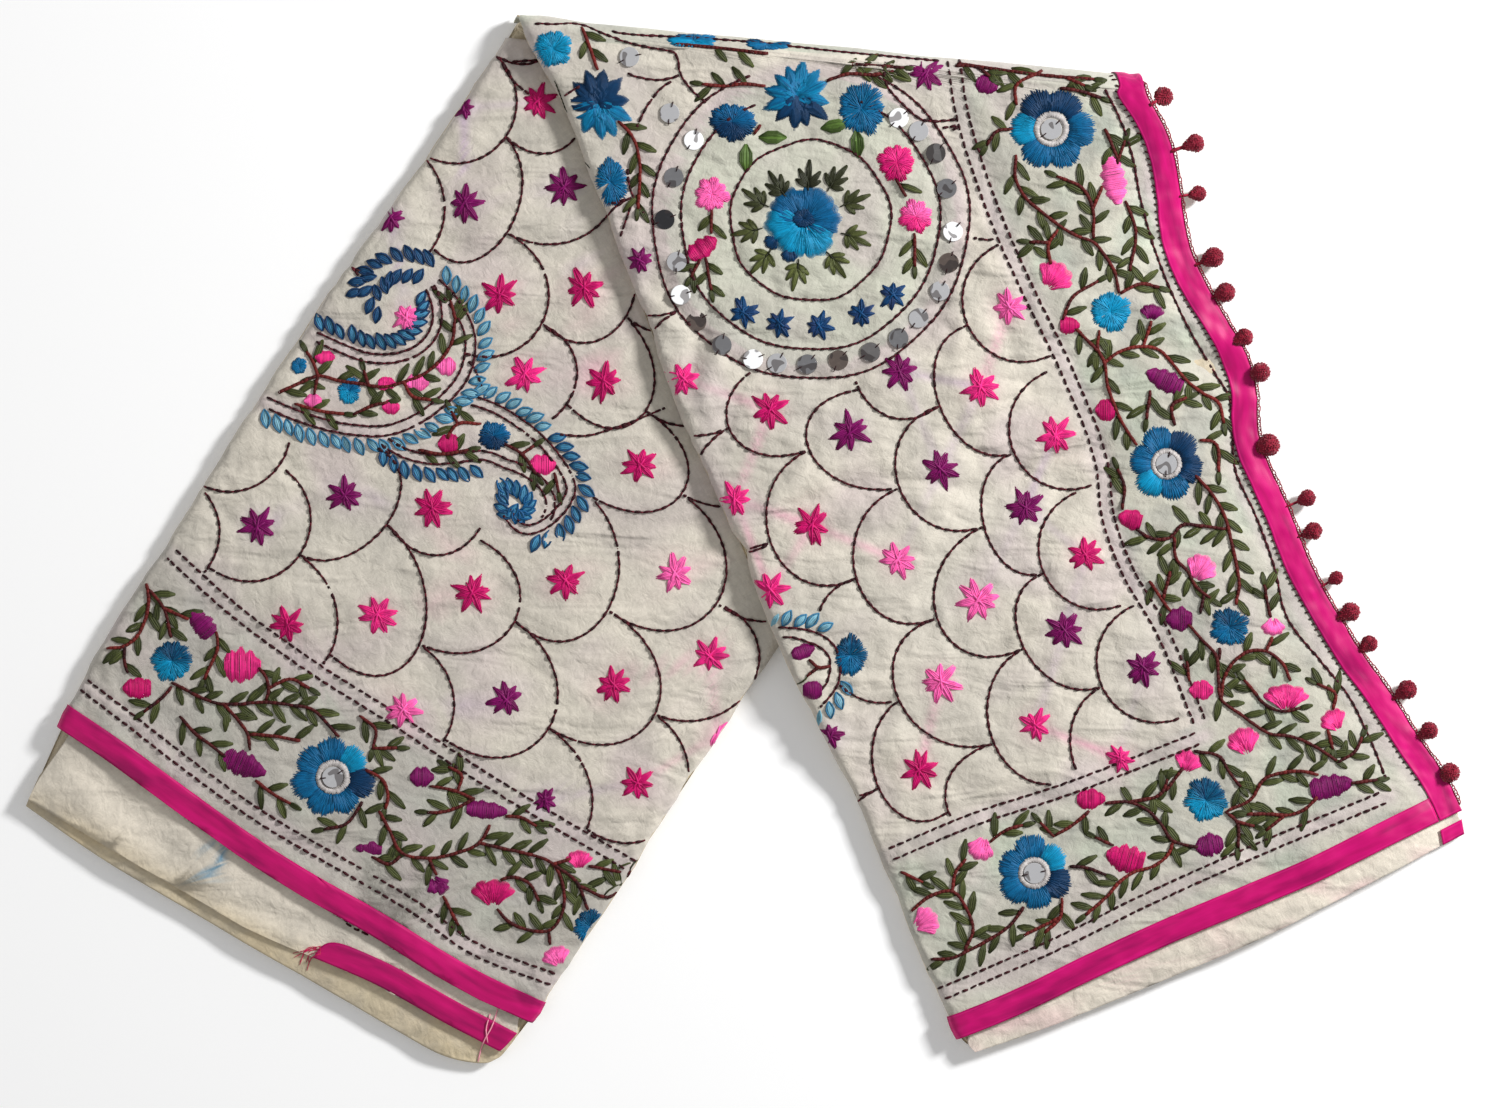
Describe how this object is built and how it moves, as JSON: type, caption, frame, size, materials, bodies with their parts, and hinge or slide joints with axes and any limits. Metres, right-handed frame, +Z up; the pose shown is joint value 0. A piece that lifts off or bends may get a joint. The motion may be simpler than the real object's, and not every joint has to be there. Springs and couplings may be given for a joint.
{
  "type": "folded kantha saree",
  "caption": "Embroidered saree folded lengthwise into a flat packet and turned over once, laid down as an upturned V, with ribbon borders and pompoms.",
  "frame": {"origin": "on the resting surface, under the middle of the folded saree's outline", "axes": "+X to the right and +Y towards the crease as the picture shows it from above, +Z up from the resting surface"},
  "size_m": [0.8657, 0.6298, 0.0244],
  "materials": {
    "kantha_cloth": "fine soft cream cloth with running stitch and satin stitch embroidery",
    "inner_cloth": "plain cream to beige cloth of the folded layers",
    "satin_ribbon": "glossy magenta satin ribbon",
    "pompom_yarn": "matt crimson yarn"
  },
  "bodies": {
    "root": {"inner_layers": "inner_cloth", "body_face": "kantha_cloth", "body_second_layer": "inner_cloth", "body_third_layer": "inner_cloth", "pallu_face": "kantha_cloth", "pallu_second_layer": "inner_cloth", "ribbon_body_edge": "satin_ribbon", "ribbon_body_second": "satin_ribbon", "ribbon_pallu_edge": "satin_ribbon", "ribbon_pallu_end": "satin_ribbon", "ribbon_corner_return": "satin_ribbon", "pompom_trim_upper": "pompom_yarn", "pompom_trim_lower": "pompom_yarn"}
  },
  "joints": []
}
